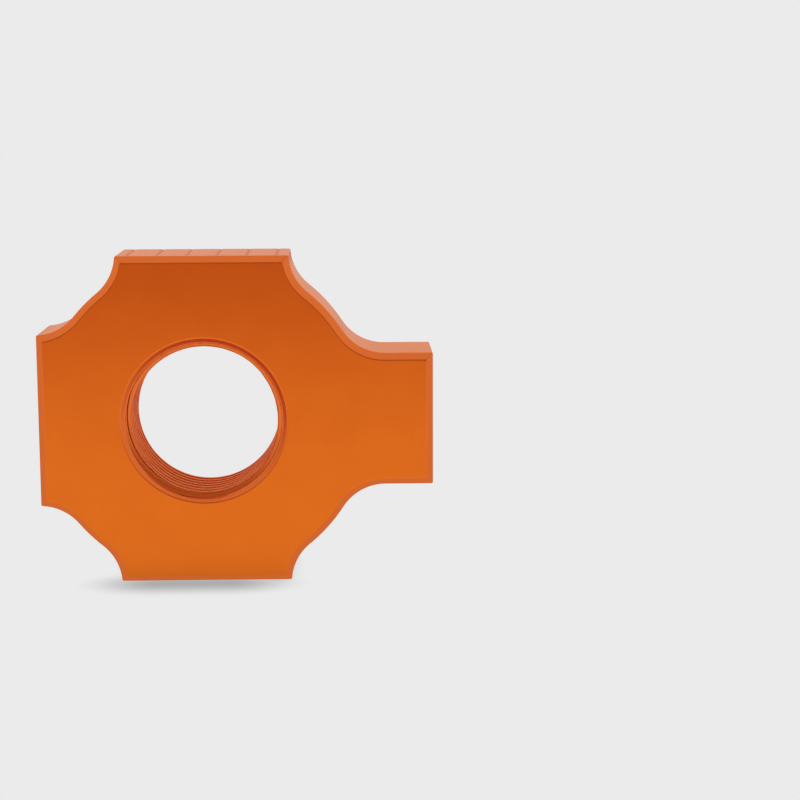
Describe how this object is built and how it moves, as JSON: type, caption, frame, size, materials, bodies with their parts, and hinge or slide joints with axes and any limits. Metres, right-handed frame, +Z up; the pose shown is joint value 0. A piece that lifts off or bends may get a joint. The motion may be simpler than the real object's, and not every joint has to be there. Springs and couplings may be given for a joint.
{
  "type": "motorcycle chain adjuster block",
  "caption": "Milled block that carries a motorcycle's rear axle in its bore, slides on its top and bottom flats and is set by a bolt on its tongue.",
  "frame": {"origin": "on the axis of the axle bore, halfway through the block", "axes": "+X from the bore to the end of the tongue, +Y from the outer face to the inner face, +Z up to the marked guide flat"},
  "size_m": [0.0666, 0.016, 0.0556],
  "materials": {
    "anodised_aluminium": "satin orange anodised"
  },
  "bodies": {
    "root": {"adjuster_block": "anodised_aluminium"}
  },
  "joints": []
}
